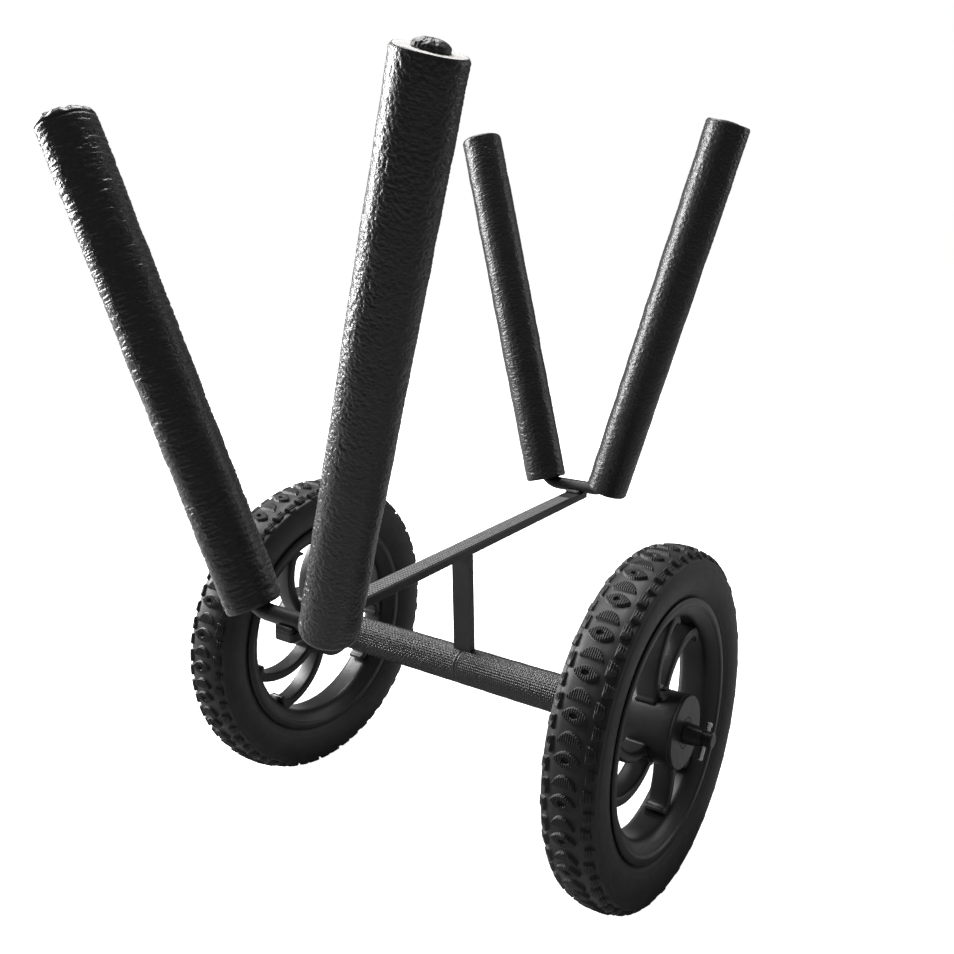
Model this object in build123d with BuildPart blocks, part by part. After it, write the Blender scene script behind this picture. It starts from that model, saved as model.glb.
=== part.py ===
from build123d import *

import os
from math import cos, radians, sin

# Two-wheeled dolly for a kayak, canoe or paddle board. Millimetres and degrees.
# X runs along the axle, Y along the bar, Z up. The origin is on the ground under the middle of the axle.

os.makedirs("parts", exist_ok=True)

# ---- Driving dimensions ----
wheel_dia = 317.5           # outside of the tyre, 12 1/2 in
tyre_width = 50
track = 408                 # wheel centre to wheel centre
cradle_spacing = 446        # between the two cradle tubes where they sit on the bar
deck_height = 284           # top of the bar above the ground
front_half_angle = 19.5      # each front arm, from the vertical
rear_half_angle = 16        # and each rear arm
cradle_lean = 5.4           # each cradle leans away from the middle
rear_arm = 412              # each rear arm, from its corner at the foot
front_left_arm = 400        # the front tube is bent off centre, so its arms differ
front_right_arm = 418
foot_width = 79             # between a cradle's two corners, where the arms' centre lines meet the foot
bend_radius = 22            # centre line of the bend at each corner

# ---- Steel frame ----
tube_dia = 14
tube_wall = 1.5
bar_width = 20
bar_thickness = 8
bar_overhang = 10           # bar past the cradle tube's centre
bar_edge = 1
grip_thickness = 1
grip_inset = 0.5            # bar left bare along each side of the grip strip
grip_end_margin = 30        # bar left bare between the grip strip and the cradle tube's centre
post_depth = 8
gusset_size = 16
gusset_thickness = 8
weld_height = 5
weld_spread = 5             # weld past the tube on each side, along the bar

# ---- Cradle sleeves and plugs ----
sleeve_dia = 46
cover_thickness = 1.5
long_sleeve_start = 3       # from the corner, along the arm, on the +X arms
short_sleeve_start = 8      # the same, on the -X arms
plug_dia = 23
plug_rim = 3                # of the cap on the front right arm, over the foam's cut end
plug_dome = 6
low_plug_rim = 1            # of the other three caps
low_plug_dome = 1.5
plug_shank = 22

# ---- Axle ----
axle_dia = 14
axle_end = 57               # axle past the wheel's middle
axle_tube_wall = 2
axle_foam_wall = 7.5
sleeve_seam = 0.4           # between the two axle sleeves, under the post
end_margin = 2              # axle tube left bare at each end
washer_rim = 5              # washer past the axle tube
washer_thickness = 2.5
spacer_wall_in = 2.5        # of the tapered spacer, beside the wheel
spacer_wall_out = 0.75      # and beside the pin
running_clearance = 0.05    # radial, between the axle and the wheel's bushes
side_clearance = 0.3        # along the axle, between the wheel and its neighbours

# ---- Wheel ----
hub_width = 64
hub_dia = 64
hub_wall = 3
bush_wall = 3
bush_flange_rim = 3         # flange past the bush
core_wall = 3.5
bush_flange = 2
bush_length = 22
disc_thickness = 3
web_thickness = 5
spoke_depth = 20
spoke_width = 9.5
spoke_pairs = 3
spoke_pair_angle = 34       # between the two spokes of a pair, at the rim
spoke_sweep = 38            # how far each spoke turns between the rim and the hub
spoke_bow = 0.58            # share of that turn made by the middle of the spoke
spoke_root = 8              # its centre line runs on this far into the rim and the hub,
rim_run_on = 3              # turning by this much more in the rim
hub_run_on = 2              # and this much in the hub
rim_corner = 3.5            # bevel in each window's corners at the rim
hub_corner = 2.5            # and rounding at the hub
rim_inner_dia = 192
rim_lip_inner_dia = 216
rim_dia = 231               # over the flanges
rim_width = 43
rim_wall = 3
flange_wall = 3
bead_seat_dia = 206
bead_seat_width = 6
well_slope = 3              # between each bead seat and the middle of the rim
tube_wall_rubber = 1.5
tread_thickness = 4.5
sidewall_thickness = 4.5
widest_at = 0.5376          # tyre's widest ring, as a share of the way from the rim's edge to the tread
shoulder_width = 40         # where the tread turns down into the sidewalls
shoulder_drop = 4
rim_strip = 2.5             # between the bead seat and the inner tube
valve_dia = 8
valve_length = 26
valve_cap_length = 8
valve_angle = -43.5         # from the first spoke, at the rim
left_wheel_turn = 193
right_wheel_turn = 156.5

# ---- Axle pins ----
pin_dia = 4
pin_hole_clearance = 0.1    # radial
pin_head_dia = 5.6
pin_head_length = 3.5
pin_head_gap = 3.5          # between the axle and the pin's head
pin_tail = 11.5             # pin standing out of the axle at its tip
pin_tilt = 52               # from the horizontal
pin_from_end = 7            # pin's centre to the end of the axle

# ---- Derived places ----
axle_height = wheel_dia / 2
wheel_x = track / 2
tube_height = deck_height + tube_dia / 2
bar_bottom = deck_height - bar_thickness
bar_length = cradle_spacing + 2 * bar_overhang
axle_tube_dia = axle_dia + 2 * axle_tube_wall
hub_inner_x = wheel_x - hub_width / 2
axle_tube_end = hub_inner_x - side_clearance - washer_thickness
axle_half = wheel_x + axle_end
pin_x = axle_half - pin_from_end
foam_dia = sleeve_dia - 2 * cover_thickness
axle_sleeve_dia = axle_tube_dia + 2 * (axle_foam_wall + cover_thickness)
washer_dia = axle_tube_dia + 2 * washer_rim
bush_outer_dia = axle_dia + 2 * bush_wall
bush_flange_dia = bush_outer_dia + 2 * bush_flange_rim
core_dia = bush_outer_dia + 2 * core_wall
pin_grip = axle_dia / 2 + pin_head_gap
pin_reach = axle_dia / 2 + pin_tail


def keep(solid, label):
    """Name a finished piece and write it to its own file."""
    solid.label = label
    export_step(solid, f"parts/{label}.step")


def polar(radius, angle):
    """Point at a radius and an angle in degrees."""
    return (radius * cos(radians(angle)), radius * sin(radians(angle)))


# ---- Bar, grip strip and post ----
with BuildPart() as main_bar:
    with BuildSketch(Plane.XY.offset(bar_bottom)):
        Rectangle(bar_width, bar_length)
        fillet(vertices(), radius=3)
    extrude(amount=bar_thickness)
    fillet(edges().group_by(Axis.Z)[-1], radius=bar_edge)
    fillet(edges().group_by(Axis.Z)[0], radius=bar_edge)
keep(main_bar.part, "main_bar")

with BuildPart() as bar_grip:
    with BuildSketch(Plane.XY.offset(deck_height)):
        Rectangle(bar_width - 2 * bar_edge - 2 * grip_inset, cradle_spacing - 2 * grip_end_margin)
        fillet(vertices(), radius=2)
    extrude(amount=grip_thickness)
keep(bar_grip.part, "bar_grip")

with BuildPart() as post:
    with BuildSketch(Plane.XY.offset(axle_height)):
        Rectangle(bar_width, post_depth)
    extrude(amount=bar_bottom - axle_height)
    with BuildSketch(Plane.YZ.offset(-bar_width)):
        with Locations((0, axle_height)):
            Circle(axle_tube_dia / 2)
    extrude(amount=2 * bar_width, mode=Mode.SUBTRACT)
keep(post.part, "post")

with BuildPart() as post_gusset:
    with BuildSketch(Plane.YZ.offset(-gusset_thickness / 2)):
        with BuildLine():
            corner = (post_depth / 2, bar_bottom)
            Line(corner, (corner[0] + gusset_size, bar_bottom))
            RadiusArc((corner[0] + gusset_size, bar_bottom), (corner[0], bar_bottom - gusset_size), -gusset_size)
            Line((corner[0], bar_bottom - gusset_size), corner)
        make_face()
    extrude(amount=gusset_thickness)
keep(post_gusset.part, "post_gusset")

# ---- Axle, its tube and its sleeves ----
with BuildPart() as axle_tube:
    with BuildSketch(Plane.YZ.offset(-axle_tube_end)):
        with Locations((0, axle_height)):
            Circle(axle_tube_dia / 2)
            Circle(axle_dia / 2, mode=Mode.SUBTRACT)
    extrude(amount=2 * axle_tube_end)
keep(axle_tube.part, "axle_tube")

pin_plane = Plane(origin=(0, 0, axle_height), z_dir=(0, cos(radians(pin_tilt)), sin(radians(pin_tilt))))

with BuildPart() as axle_rod:
    with BuildSketch(Plane.YZ.offset(-axle_half)):
        with Locations((0, axle_height)):
            Circle(axle_dia / 2)
    extrude(amount=2 * axle_half)
    chamfer(edges().group_by(Axis.X)[0], length=1)
    chamfer(edges().group_by(Axis.X)[-1], length=1)
    for x in (-pin_x, pin_x):
        with BuildSketch(Plane(origin=(x, 0, axle_height), z_dir=pin_plane.z_dir).offset(-axle_dia)):
            Circle(pin_dia / 2 + pin_hole_clearance)
        extrude(amount=2 * axle_dia, mode=Mode.SUBTRACT)
keep(axle_rod.part, "axle_rod")

for side, sign in (("left", -1), ("right", 1)):
    sleeve_plane = Plane(origin=(sign * sleeve_seam / 2, 0, axle_height), z_dir=(sign, 0, 0))
    sleeve_length = axle_tube_end - end_margin - sleeve_seam / 2

    with BuildPart() as axle_foam:
        with BuildSketch(sleeve_plane):
            Circle(axle_sleeve_dia / 2 - cover_thickness)
            Circle(axle_tube_dia / 2, mode=Mode.SUBTRACT)
        extrude(amount=sleeve_length)
        with BuildSketch(Plane.XY.offset(axle_height)):
            Rectangle(bar_width, post_depth)
        extrude(amount=axle_sleeve_dia, mode=Mode.SUBTRACT)
    keep(axle_foam.part, f"axle_foam_{side}")

    with BuildPart() as axle_cover:
        with BuildSketch(sleeve_plane):
            Circle(axle_sleeve_dia / 2)
            Circle(axle_sleeve_dia / 2 - cover_thickness, mode=Mode.SUBTRACT)
        extrude(amount=sleeve_length)
        with BuildSketch(Plane.XY.offset(axle_height)):
            Rectangle(bar_width, post_depth)
        extrude(amount=axle_sleeve_dia, mode=Mode.SUBTRACT)
    keep(axle_cover.part, f"axle_cover_{side}")

    with BuildPart() as thrust_washer:
        with BuildSketch(Plane(origin=(sign * axle_tube_end, 0, axle_height), z_dir=(sign, 0, 0))):
            Circle(washer_dia / 2)
            Circle(axle_dia / 2, mode=Mode.SUBTRACT)
        extrude(amount=washer_thickness)
    keep(thrust_washer.part, f"thrust_washer_{side}")

    spacer_start = wheel_x + hub_width / 2 + side_clearance
    spacer_end = pin_x - pin_dia / 2 - side_clearance
    with BuildPart() as hub_spacer:
        with BuildSketch(Plane(origin=(sign * spacer_start, 0, axle_height), z_dir=(sign, 0, 0))):
            Circle(axle_dia / 2 + spacer_wall_in)
        with BuildSketch(Plane(origin=(sign * spacer_end, 0, axle_height), z_dir=(sign, 0, 0))):
            Circle(axle_dia / 2 + spacer_wall_out)
        loft()
        with BuildSketch(Plane(origin=(sign * wheel_x, 0, axle_height), z_dir=(sign, 0, 0))):
            Circle(axle_dia / 2)
        extrude(amount=axle_end, mode=Mode.SUBTRACT)
    keep(hub_spacer.part, f"hub_spacer_{side}")

# ---- Cradles ----
# Each cradle is drawn in its own leaning plane: X across, Y up along the lean, zero at the bottom of the bend.
def plug(rim_height, dome):
    """Cap on a tube's end, with its shank down the Z axis and its rim on the XY plane."""
    with BuildPart() as cap:
        with BuildSketch(Plane.XZ):
            with BuildLine():
                Polyline(
                    (0, -plug_shank),
                    (tube_dia / 2 - tube_wall, -plug_shank),
                    (tube_dia / 2 - tube_wall, 0),
                    (plug_dia / 2, 0),
                    (plug_dia / 2, rim_height),
                )
                Spline((plug_dia / 2, rim_height), (0, rim_height + dome), tangents=((0, 1), (-1, 0)))
                Line((0, rim_height + dome), (0, -plug_shank))
            make_face()
        revolve(axis=Axis.Z)
    return cap.part


for end, sign, half_angle, left_arm, right_arm in (
    ("front", -1, front_half_angle, front_left_arm, front_right_arm),
    ("rear", 1, rear_half_angle, rear_arm, rear_arm),
):
    turn = 90 - half_angle
    lean = radians(cradle_lean)
    cradle = Plane(
        origin=(0, sign * cradle_spacing / 2, tube_height),
        x_dir=(1, 0, 0),
        z_dir=(0, -cos(lean), sign * sin(lean)),
    )

    across, along = sin(radians(half_angle)), cos(radians(half_angle))
    left_end = (-foot_width / 2 - left_arm * across, left_arm * along)
    right_end = (foot_width / 2 + right_arm * across, right_arm * along)
    with BuildLine(cradle) as tube_path:
        FilletPolyline(left_end, (-foot_width / 2, 0), (foot_width / 2, 0), right_end, radius=bend_radius)
    tube_start = Plane(origin=tube_path.line @ 0, z_dir=tube_path.line % 0)

    with BuildPart() as tube_outside:
        with BuildSketch(tube_start):
            Circle(tube_dia / 2)
        sweep(path=tube_path.line)
    with BuildPart() as cradle_tube:
        with BuildSketch(tube_start):
            Circle(tube_dia / 2)
            Circle(tube_dia / 2 - tube_wall, mode=Mode.SUBTRACT)
        sweep(path=tube_path.line)
    keep(cradle_tube.part, f"cradle_tube_{end}")

    with BuildPart() as cradle_weld:
        half_spread = tube_dia / 2 + weld_spread
        with BuildSketch(Plane.YZ.offset(-bar_width / 2 + bar_edge)):
            with Locations((sign * cradle_spacing / 2, deck_height)):
                Trapezoid(2 * half_spread, weld_height, 50, align=(Align.CENTER, Align.MIN))
        extrude(amount=bar_width - 2 * bar_edge)
        with BuildSketch(Plane.YZ.offset(-bar_width)):
            with Locations((sign * cradle_spacing / 2, tube_height)):
                Circle(tube_dia / 2)
        extrude(amount=2 * bar_width, mode=Mode.SUBTRACT)
    keep(cradle_weld.part, f"cradle_weld_{end}")

    for side, hand, start, arm in (
        ("left", -1, short_sleeve_start, left_arm),
        ("right", 1, long_sleeve_start, right_arm),
    ):
        sleeve_foot = (hand * (foot_width / 2 + start * across), start * along)
        sleeve = Plane(origin=cradle.from_local_coords(sleeve_foot), z_dir=cradle.from_local_coords((hand * across, along)) - cradle.origin)

        with BuildPart() as arm_foam:
            with BuildSketch(sleeve):
                Circle(foam_dia / 2)
            extrude(amount=arm - start)
            add(tube_outside.part, mode=Mode.SUBTRACT)
        keep(arm_foam.part, f"arm_foam_{end}_{side}")

        with BuildPart() as arm_cover:
            with BuildSketch(sleeve):
                Circle(sleeve_dia / 2)
                Circle(foam_dia / 2, mode=Mode.SUBTRACT)
            extrude(amount=arm - start)
        keep(arm_cover.part, f"arm_cover_{end}_{side}")

        arm_end = sleeve.offset(arm - start)
        proud = (end, side) == ("front", "right")
        arm_plug = plug(plug_rim, plug_dome) if proud else plug(low_plug_rim, low_plug_dome)
        keep(arm_plug.moved(arm_end.location), f"arm_plug_{end}_{side}")

# ---- Wheel, drawn about the X axis with its middle at the origin ----
half_hub = hub_width / 2
half_rim = rim_width / 2
bead_width = rim_width - 2 * flange_wall
crown = wheel_dia / 2
cavity_top = crown - tread_thickness
cavity_bottom = bead_seat_dia / 2 + rim_strip

valve_dir = polar(1, valve_angle)
valve_plane = Plane(origin=(0, 0, 0), z_dir=(0, valve_dir[0], valve_dir[1]))

with BuildPart() as rim:
    with BuildSketch(Plane.XY):
        with BuildLine() as rim_line:
            lip = (half_rim, rim_lip_inner_dia / 2)
            tip_outside = (half_rim, rim_dia / 2 - flange_wall / 2)
            tip_inside = (half_rim - flange_wall, rim_dia / 2 - flange_wall / 2)
            seat_outside = (bead_width / 2, bead_seat_dia / 2)
            seat_inside = (bead_width / 2 - bead_seat_width, bead_seat_dia / 2)
            well = (bead_width / 2 - bead_seat_width - well_slope, rim_inner_dia / 2 + rim_wall)
            Spline((spoke_depth / 2, rim_inner_dia / 2), lip, tangents=((1, 0), (0.5, 1)))
            Line(lip, tip_outside)
            RadiusArc(tip_outside, tip_inside, -flange_wall / 2)
            Polyline(tip_inside, seat_outside, seat_inside, well, (0, rim_inner_dia / 2 + rim_wall))
            Line((0, rim_inner_dia / 2 + rim_wall), (0, rim_inner_dia / 2))
            Line((0, rim_inner_dia / 2), (spoke_depth / 2, rim_inner_dia / 2))
        make_face()
        mirror(about=Plane.YZ)
    revolve(axis=Axis.X)
    with BuildSketch(valve_plane):
        Circle(valve_dia / 2)
    extrude(amount=bead_seat_dia, mode=Mode.SUBTRACT)

# The wheel's one moulding is kept as two pieces, the rim and its centre, which meet at the foot of each spoke.
spoke_middle = (rim_inner_dia + hub_dia) / 4
with BuildPart() as wheel_centre:
    with BuildSketch(Plane.XY):
        # Hub barrel, its middle web and the core that holds the bushes
        with Locations((0, (hub_dia - hub_wall) / 2)):
            Rectangle(hub_width - 2 * disc_thickness, hub_wall)
        with Locations((0, (hub_dia + bush_outer_dia) / 4)):
            Rectangle(web_thickness, (hub_dia - bush_outer_dia) / 2)
        with Locations((0, (core_dia + bush_outer_dia) / 4)):
            Rectangle(hub_width - 2 * bush_flange, (core_dia - bush_outer_dia) / 2)
    revolve(axis=Axis.X)
    with BuildSketch(Plane.YZ.offset(-spoke_depth / 2)):
        Circle(rim_inner_dia / 2)
        Circle(hub_dia / 2 - hub_wall / 2, mode=Mode.SUBTRACT)
    extrude(amount=spoke_depth)
    with BuildSketch(Plane.YZ.offset(-spoke_depth / 2)):
        Circle(rim_inner_dia / 2)
        Circle(hub_dia / 2, mode=Mode.SUBTRACT)
        for pair in range(spoke_pairs):
            for angle in (pair * 360 / spoke_pairs, pair * 360 / spoke_pairs + spoke_pair_angle):
                with BuildLine():
                    ThreePointArc(
                        polar(rim_inner_dia / 2 + spoke_root, angle - rim_run_on),
                        polar(spoke_middle, angle + spoke_bow * spoke_sweep),
                        polar(hub_dia / 2 - spoke_root, angle + spoke_sweep + hub_run_on),
                    )
                trace(line_width=spoke_width, mode=Mode.SUBTRACT)
        middle = (-spoke_depth / 2, 0, 0)
        chamfer(vertices().filter_by(lambda corner: corner.distance_to(middle) > spoke_middle), length=rim_corner)
        fillet(vertices().filter_by(lambda corner: corner.distance_to(middle) < spoke_middle), radius=hub_corner)
    extrude(amount=spoke_depth, mode=Mode.SUBTRACT)

with BuildPart() as hub_bush:
    with BuildSketch(Plane.YZ.offset(half_hub - bush_flange)):
        Circle(bush_flange_dia / 2)
    extrude(amount=bush_flange)
    with BuildSketch(Plane.YZ.offset(half_hub - bush_flange)):
        Circle(bush_outer_dia / 2)
    extrude(amount=-bush_length)
    with BuildSketch(Plane.YZ):
        Circle(axle_dia / 2 + running_clearance)
    extrude(amount=half_hub, mode=Mode.SUBTRACT)

with BuildPart() as hub_disc:
    with BuildSketch(Plane.YZ.offset(half_hub - disc_thickness)):
        Circle(hub_dia / 2)
        Circle(core_dia / 2, mode=Mode.SUBTRACT)
    extrude(amount=disc_thickness)
    fillet(edges().group_by(Axis.X)[-1].sort_by(SortBy.LENGTH)[-1], radius=1.2)

with BuildPart() as tyre:
    with BuildSketch(Plane.XY):
        with BuildLine():
            shoulder = (shoulder_width / 2, crown - shoulder_drop)
            Line((0, bead_seat_dia / 2), (bead_width / 2, bead_seat_dia / 2))
            Line((bead_width / 2, bead_seat_dia / 2), (bead_width / 2, rim_dia / 2))
            widest = (tyre_width / 2, rim_dia / 2 + widest_at * (crown - rim_dia / 2))
            Spline((bead_width / 2, rim_dia / 2), widest, tangents=((0.8, 1), (0, 1)))
            Spline(widest, shoulder, (0, crown), tangents=((0, 1), (-1, 0)))
            Line((0, crown), (0, bead_seat_dia / 2))
        make_face()
        mirror(about=Plane.YZ)
        with Locations((0, (cavity_top + cavity_bottom) / 2)):
            Ellipse(tyre_width / 2 - sidewall_thickness, (cavity_top - cavity_bottom) / 2, mode=Mode.SUBTRACT)
        with Locations((0, bead_seat_dia / 2)):
            Rectangle(bead_width - 2 * bead_seat_width, 6 * rim_strip, mode=Mode.SUBTRACT)
    revolve(axis=Axis.X)

with BuildPart() as inner_tube:
    with BuildSketch(Plane.XY):
        with Locations((0, (cavity_top + cavity_bottom) / 2)):
            half_width = tyre_width / 2 - sidewall_thickness
            half_height = (cavity_top - cavity_bottom) / 2
            Ellipse(half_width, half_height)
            Ellipse(half_width - tube_wall_rubber, half_height - tube_wall_rubber, mode=Mode.SUBTRACT)
    revolve(axis=Axis.X)

with BuildPart() as valve:
    with BuildSketch(valve_plane.offset(cavity_bottom + 1 - valve_length)):
        Circle(valve_dia / 2)
    extrude(amount=valve_length)
    with BuildSketch(Plane.YZ.offset(-tyre_width)):
        Circle(cavity_bottom)
    extrude(amount=2 * tyre_width, mode=Mode.INTERSECT)

with BuildPart() as valve_cap:
    with BuildSketch(valve_plane.offset(cavity_bottom + 1 - valve_length)):
        RegularPolygon(valve_dia / 2 + 1, 12)
    extrude(amount=-valve_cap_length, taper=4)

wheel_pieces = {
    "rim": rim.part,
    "wheel_centre": wheel_centre.part,
    "bush_outer": hub_bush.part,
    "bush_inner": mirror(hub_bush.part, about=Plane.YZ),
    "hub_disc_outer": hub_disc.part,
    "hub_disc_inner": mirror(hub_disc.part, about=Plane.YZ),
    "tyre": tyre.part,
    "inner_tube": inner_tube.part,
    "valve": valve.part,
    "valve_cap": valve_cap.part,
}
for side, x, angle in (("left", -wheel_x, left_wheel_turn), ("right", wheel_x, right_wheel_turn)):
    for name, solid in wheel_pieces.items():
        keep(solid.rotate(Axis.X, angle).moved(Location((x, 0, axle_height))), f"{name}_{side}")

# ---- Axle pins ----
for side, sign in (("left", -1), ("right", 1)):
    pin_axis = Plane(origin=(sign * pin_x, 0, axle_height), z_dir=pin_plane.z_dir)
    with BuildPart() as axle_pin:
        with BuildSketch(pin_axis.offset(-pin_reach)):
            Circle(pin_dia / 2)
        extrude(amount=pin_reach + pin_grip)
        chamfer(edges().sort_by(Axis(pin_axis.origin, pin_axis.z_dir))[0], length=0.8)
        with BuildSketch(pin_axis.offset(pin_grip)):
            Circle(pin_head_dia / 2)
        extrude(amount=pin_head_length)
        fillet(edges().sort_by(Axis(pin_axis.origin, pin_axis.z_dir))[-1], radius=1.2)
    keep(axle_pin.part, f"axle_pin_{side}")
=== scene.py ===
import math

import bpy
import numpy as np
from mathutils import Matrix, Vector


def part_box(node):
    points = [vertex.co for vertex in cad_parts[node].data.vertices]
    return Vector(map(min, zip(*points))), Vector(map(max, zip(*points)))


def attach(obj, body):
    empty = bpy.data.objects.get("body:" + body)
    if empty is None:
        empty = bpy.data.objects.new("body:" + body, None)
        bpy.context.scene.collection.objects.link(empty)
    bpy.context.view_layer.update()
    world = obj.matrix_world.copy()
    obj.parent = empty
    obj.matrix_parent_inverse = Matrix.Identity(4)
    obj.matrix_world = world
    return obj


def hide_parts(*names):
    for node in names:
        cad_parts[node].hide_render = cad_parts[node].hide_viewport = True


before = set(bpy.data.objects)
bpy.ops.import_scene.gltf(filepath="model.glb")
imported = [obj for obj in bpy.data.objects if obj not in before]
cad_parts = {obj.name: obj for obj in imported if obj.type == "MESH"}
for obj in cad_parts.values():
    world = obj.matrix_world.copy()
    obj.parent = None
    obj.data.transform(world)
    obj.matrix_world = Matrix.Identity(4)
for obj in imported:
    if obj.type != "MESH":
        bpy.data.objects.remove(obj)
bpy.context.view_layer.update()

MM = 0.001
TAU = 2 * math.pi


# ---------------------------------------------------------------- places, all from the frame
def centre(node):
    low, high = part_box(node)
    return (low + high) / 2


AXLE_Z = centre("axle_rod").z
WHEEL_X = centre("tyre_right").x
DECK_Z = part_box("main_bar")[1].z
TUBE_R = 7 * MM
LEAN = math.radians(5.4)
HALF_ANGLE = {"front": math.radians(19.5), "rear": math.radians(16)}
# each arm from its corner at the foot to its top, on the tube's centre line
ARM = {("front", "left"): 400 * MM, ("front", "right"): 418 * MM,
       ("rear", "left"): 412 * MM, ("rear", "right"): 412 * MM}
HALF_FOOT = 39.5 * MM
CRADLE_Y = 223 * MM
CRADLE_Z = DECK_Z + TUBE_R
SLEEVE_R = 23 * MM
FOAM_R = 21.5 * MM
# where each sleeve starts, up its arm from the corner
STARTS = {"left": 3.5 * MM, "right": 0}


# ---------------------------------------------------------------- mesh helpers
def make_object(name, verts, faces, material, smooth=True):
    mesh = bpy.data.meshes.new(name)
    mesh.from_pydata([tuple(v) for v in verts], [], faces)
    mesh.validate()
    mesh.update()
    if smooth:
        mesh.polygons.foreach_set("use_smooth", [True] * len(mesh.polygons))
    obj = bpy.data.objects.new(name, mesh)
    bpy.context.scene.collection.objects.link(obj)
    obj.data.materials.append(material)
    return obj


def grid_faces(rows, cols, offset=0, wrap_rows=False, wrap_cols=True):
    """Quads of a grid whose rows follow each other and whose columns close on themselves."""
    r = np.arange(rows if wrap_rows else rows - 1)
    c = np.arange(cols if wrap_cols else cols - 1)
    r, c = np.meshgrid(r, c, indexing="ij")
    r2, c2 = (r + 1) % rows, (c + 1) % cols
    quads = np.stack([r * cols + c, r * cols + c2, r2 * cols + c2, r2 * cols + c], -1)
    return (quads.reshape(-1, 4) + offset).tolist()


def mend_normals(obj):
    """Turns every face of a closed mesh outwards."""
    import bmesh
    bm = bmesh.new()
    bm.from_mesh(obj.data)
    bmesh.ops.recalc_face_normals(bm, faces=bm.faces)
    bm.to_mesh(obj.data)
    bm.free()


def noise(rng, rows, cols, cell_rows, cell_cols):
    """Smooth random field from 0 to 1 over a grid, periodic along its columns."""
    nr = max(2, int(round(rows / cell_rows)) + 2)
    nc = max(3, int(round(cols / cell_cols)))
    coarse = rng.random((nr + 1, nc))
    r = np.linspace(0, nr - 1.001, rows)
    c = np.linspace(0, nc, cols, endpoint=False)
    ri, ci = r.astype(int), c.astype(int)
    rf, cf = r - ri, c - ci
    rf, cf = rf * rf * (3 - 2 * rf), cf * cf * (3 - 2 * cf)
    a = coarse[np.ix_(ri, ci)] * (1 - cf) + coarse[np.ix_(ri, (ci + 1) % nc)] * cf
    b = coarse[np.ix_(ri + 1, ci)] * (1 - cf) + coarse[np.ix_(ri + 1, (ci + 1) % nc)] * cf
    return a * (1 - rf[:, None]) + b * rf[:, None]


def ridges(field):
    """Sharp crests where a field passes its middle."""
    return 1 - np.abs(2 * field - 1) * 2


def smooth_step(edge0, edge1, x):
    """From 0 at edge0 to 1 at edge1, which may be the smaller of the two."""
    t = np.clip((x - edge0) / (edge1 - edge0), 0, 1)
    return t * t * (3 - 2 * t)


# ---------------------------------------------------------------- materials
def material(name, dark, light, rough, rough_spread=0.08, metallic=0.0, specular=0.5,
             scale=60, bumps=(), sheen=0.0, coat=0.0, coat_rough=0.3):
    """Principled material: two colours mixed by noise, roughness that varies, and a chain of bumps.
    Each bump is (kind, scale, stretch, strength, distance)."""
    mat = bpy.data.materials.new(name)
    mat.use_nodes = True
    nodes, links = mat.node_tree.nodes, mat.node_tree.links
    shader = nodes["Principled BSDF"]
    shader.inputs["Metallic"].default_value = metallic
    shader.inputs["Specular IOR Level"].default_value = specular
    shader.inputs["Sheen Weight"].default_value = sheen
    shader.inputs["Sheen Roughness"].default_value = 0.4
    shader.inputs["Coat Weight"].default_value = coat
    shader.inputs["Coat Roughness"].default_value = coat_rough
    place = nodes.new("ShaderNodeTexCoord")

    def texture(kind, size, stretch=(1, 1, 1), detail=4):
        mapping = nodes.new("ShaderNodeMapping")
        mapping.inputs["Scale"].default_value = stretch
        links.new(place.outputs["Object"], mapping.inputs["Vector"])
        if kind == "voronoi":
            tex = nodes.new("ShaderNodeTexVoronoi")
            tex.feature = "SMOOTH_F1"
            out = tex.outputs["Distance"]
        else:
            tex = nodes.new("ShaderNodeTexNoise")
            tex.inputs["Detail"].default_value = detail
            out = tex.outputs["Fac"]
        tex.inputs["Scale"].default_value = size
        links.new(mapping.outputs["Vector"], tex.inputs["Vector"])
        return out

    ramp = nodes.new("ShaderNodeValToRGB")
    ramp.color_ramp.elements[0].position = 0.35
    ramp.color_ramp.elements[1].position = 0.7
    ramp.color_ramp.elements[0].color = (*dark, 1)
    ramp.color_ramp.elements[1].color = (*light, 1)
    links.new(texture("noise", scale), ramp.inputs["Fac"])
    links.new(ramp.outputs["Color"], shader.inputs["Base Color"])
    spread = nodes.new("ShaderNodeMapRange")
    spread.inputs["To Min"].default_value = rough - rough_spread
    spread.inputs["To Max"].default_value = rough + rough_spread
    links.new(texture("noise", scale * 3), spread.inputs["Value"])
    links.new(spread.outputs["Result"], shader.inputs["Roughness"])
    last = None
    for kind, size, stretch, strength, distance in bumps:
        bump = nodes.new("ShaderNodeBump")
        bump.inputs["Strength"].default_value = strength
        bump.inputs["Distance"].default_value = distance
        links.new(texture(kind, size, stretch), bump.inputs["Height"])
        if last:
            links.new(last.outputs["Normal"], bump.inputs["Normal"])
        last = bump
    if last:
        links.new(last.outputs["Normal"], shader.inputs["Normal"])
    return mat


def grey(level):
    return (level, level, level * 1.01)


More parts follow.
